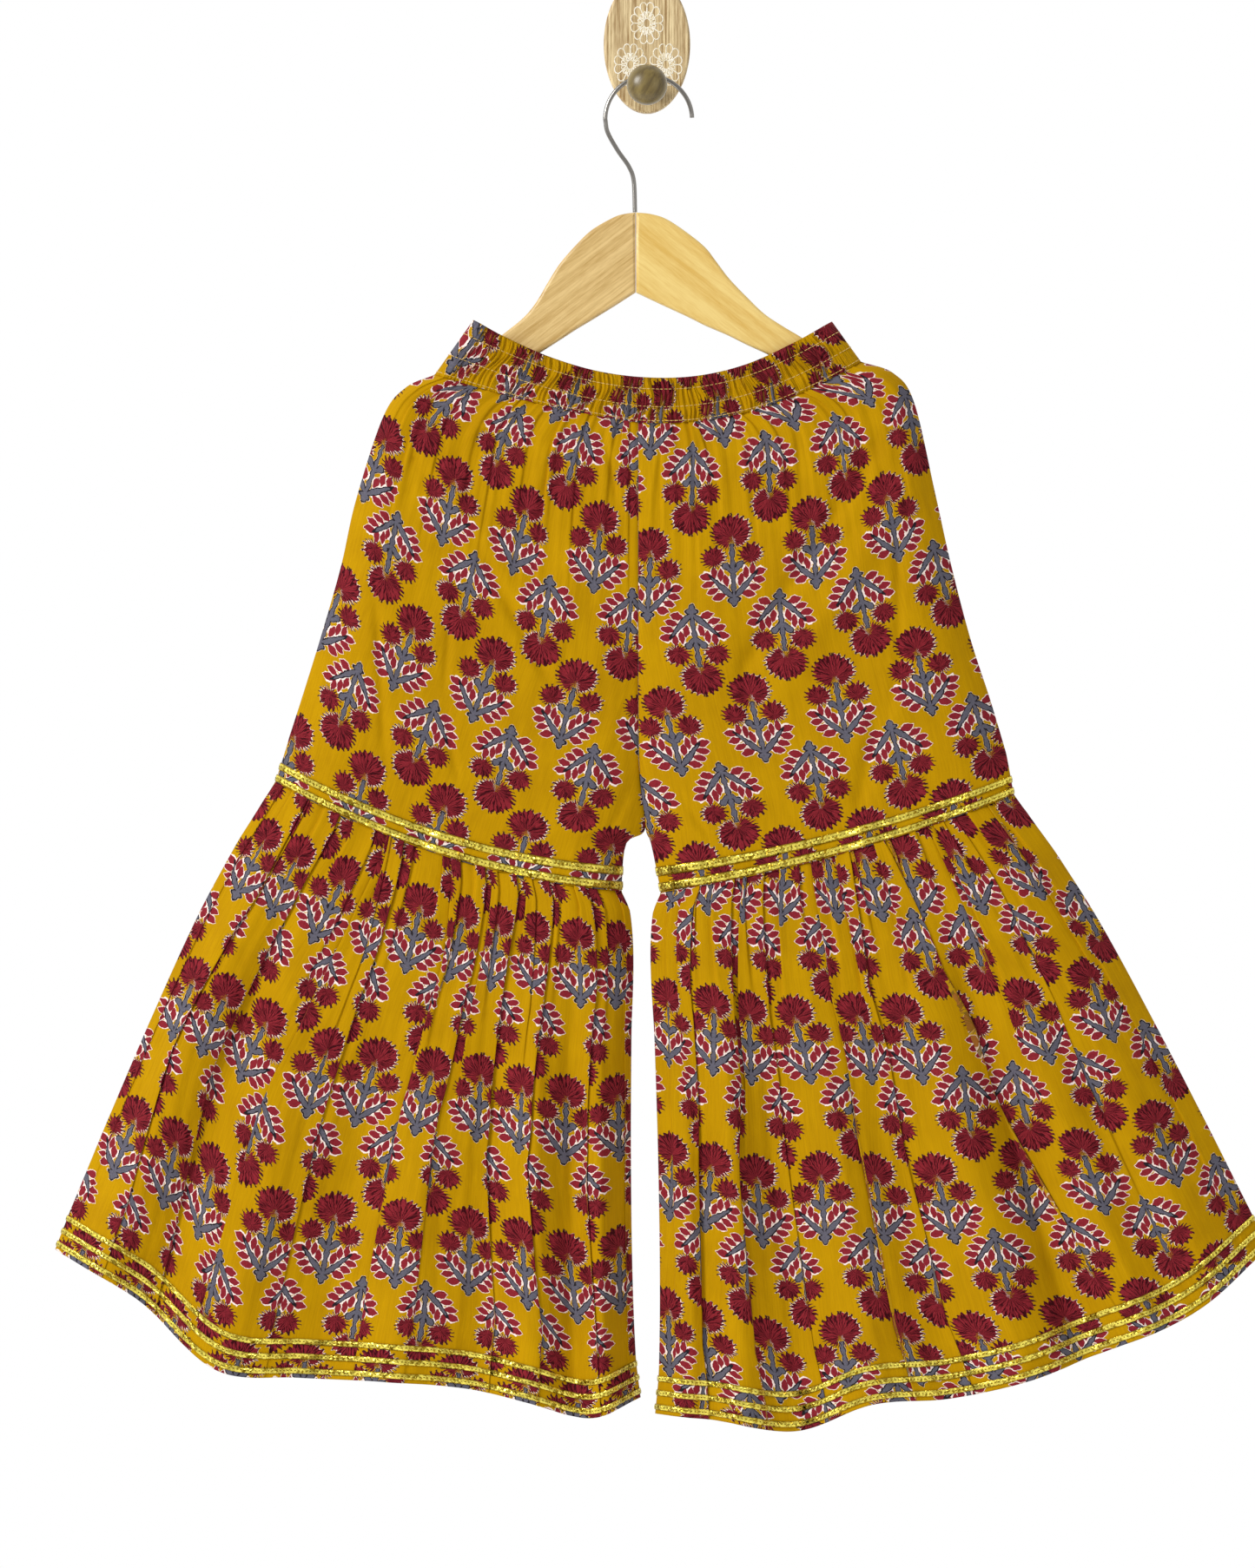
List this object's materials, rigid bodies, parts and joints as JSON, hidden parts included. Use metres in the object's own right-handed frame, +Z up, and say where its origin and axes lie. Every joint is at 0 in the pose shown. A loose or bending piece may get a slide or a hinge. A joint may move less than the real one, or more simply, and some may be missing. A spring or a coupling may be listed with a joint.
{
  "type": "child's gharara trousers on a wooden hanger and a wall hook",
  "caption": "Cotton gharara trousers with gathered knee flounces and gold ribbon lines, hung by the waist on a flat wooden hanger from a turned wall hook.",
  "frame": {"origin": "on the plaque's flat back face, in line with the knob's axis, where the wall hook meets the wall", "axes": "+X to the viewer's right, +Z up, +Y into the wall; the garment's front faces -Y"},
  "size_m": [0.754, 0.0586, 0.9061],
  "materials": {
    "cotton": "plain-weave cotton, block printed with marigold sprigs",
    "gota": "woven metallic ribbon",
    "hanger_wood": "satin lacquer",
    "steel": "drawn wire",
    "plaque_wood": "matt, with pale rosettes",
    "knob_wood": "turned and stained"
  },
  "bodies": {
    "root": {"waistband_front": "cotton", "waistband_back": "cotton", "leg_front_left": "cotton", "leg_front_right": "cotton", "leg_back_left": "cotton", "leg_back_right": "cotton", "flounce_front_left": "cotton", "flounce_front_right": "cotton", "flounce_back_left": "cotton", "flounce_back_right": "cotton", "knee_gota_upper_front_left": "gota", "knee_gota_upper_front_right": "gota", "knee_gota_upper_back_left": "gota", "knee_gota_upper_back_right": "gota", "knee_gota_lower_front_left": "gota", "knee_gota_lower_front_right": "gota", "knee_gota_lower_back_left": "gota", "knee_gota_lower_back_right": "gota", "hem_gota_1_front_left": "gota", "hem_gota_1_front_right": "gota", "hem_gota_1_back_left": "gota", "hem_gota_1_back_right": "gota", "hem_gota_2_front_left": "gota", "hem_gota_2_front_right": "gota", "hem_gota_2_back_left": "gota", "hem_gota_2_back_right": "gota", "hem_gota_3_front_left": "gota", "hem_gota_3_front_right": "gota", "hem_gota_3_back_left": "gota", "hem_gota_3_back_right": "gota", "hanger_arm_left": "hanger_wood", "hanger_arm_right": "hanger_wood", "hanger_hook": "steel", "wall_plaque": "plaque_wood", "wall_knob": "knob_wood"}
  },
  "joints": []
}
